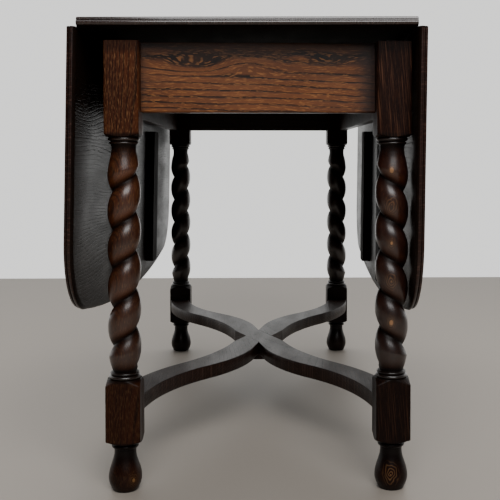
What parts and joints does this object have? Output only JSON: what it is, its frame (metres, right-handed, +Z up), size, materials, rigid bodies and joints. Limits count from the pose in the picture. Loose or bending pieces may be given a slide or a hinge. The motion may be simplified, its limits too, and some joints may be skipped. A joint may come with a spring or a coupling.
{
  "type": "drop-leaf dining table",
  "caption": "Dark oak dining table with barley-twist legs, a curved crossed stretcher, a swivelling middle top and hanging leaves with rounded corners",
  "frame": {"origin": "On the floor under the pivot bolt, at the middle of the table's footprint", "axes": "+Y runs along the table from the end seen in the picture to the far end, +X to the right as seen from that end, +Z up"},
  "size_m": [0.5996, 1.1366, 0.7534],
  "materials": {
    "leg_oak": "dark stained oak, turned and carved, satin wax polish",
    "rail_oak": "brown stained oak, flat sawn, satin polish",
    "stretcher_oak": "dark stained oak, sawn curves, satin polish, worn on top",
    "top_oak": "dark stained oak boards, polished",
    "leaf_oak": "dark stained oak boards, polished outside, thinly stained inside",
    "batten_oak": "dark stained oak, unpolished",
    "inner_wood": "bare sawn wood",
    "hinge_steel": "darkened pressed steel",
    "bolt_steel": "plain steel, dulled"
  },
  "bodies": {
    "frame": {"front_left_leg": "leg_oak", "front_right_leg": "leg_oak", "back_left_leg": "leg_oak", "back_right_leg": "leg_oak", "front_end_rail": "rail_oak", "back_end_rail": "rail_oak", "left_side_rail": "rail_oak", "right_side_rail": "rail_oak", "pivot_cross_rail": "inner_wood", "lower_stretcher": "stretcher_oak", "upper_stretcher": "stretcher_oak", "stretcher_block": "stretcher_oak"},
    "top": {"top_board": "top_oak", "front_top_bearer": "inner_wood", "back_top_bearer": "inner_wood", "pivot_cleat": "inner_wood", "pivot_bolt": "bolt_steel", "pivot_washer": "bolt_steel", "pivot_nut": "bolt_steel", "left_front_hinge_top_plate": "hinge_steel", "left_back_hinge_top_plate": "hinge_steel", "right_front_hinge_top_plate": "hinge_steel", "right_back_hinge_top_plate": "hinge_steel", "left_front_hinge_pin": "hinge_steel", "left_back_hinge_pin": "hinge_steel", "right_front_hinge_pin": "hinge_steel", "right_back_hinge_pin": "hinge_steel"},
    "left_drop_leaf": {"left_leaf": "leaf_oak", "left_leaf_front_batten": "batten_oak", "left_leaf_back_batten": "batten_oak", "left_front_hinge_leaf_plate": "hinge_steel", "left_back_hinge_leaf_plate": "hinge_steel"},
    "right_drop_leaf": {"right_leaf": "leaf_oak", "right_leaf_front_batten": "batten_oak", "right_leaf_back_batten": "batten_oak", "right_front_hinge_leaf_plate": "hinge_steel", "right_back_hinge_leaf_plate": "hinge_steel"}
  },
  "joints": [
    {"name": "top_swivel", "type": "hinge", "parent": "frame", "child": "top", "pos_m": [0, 0, 0.72], "axis": [0, 0, 1], "range_deg": [0, 3.5]},
    {"name": "left_leaf_hinge", "type": "hinge", "parent": "top", "child": "left_drop_leaf", "pos_m": [-0.26355, 0.00814, 0.73825], "axis": [0.0309, 0.9995, 0], "range_deg": [-1.2, 88.8]},
    {"name": "right_leaf_hinge", "type": "hinge", "parent": "top", "child": "right_drop_leaf", "pos_m": [0.26355, -0.00814, 0.73825], "axis": [-0.0309, -0.9995, 0], "range_deg": [0, 90.7]}
  ]
}
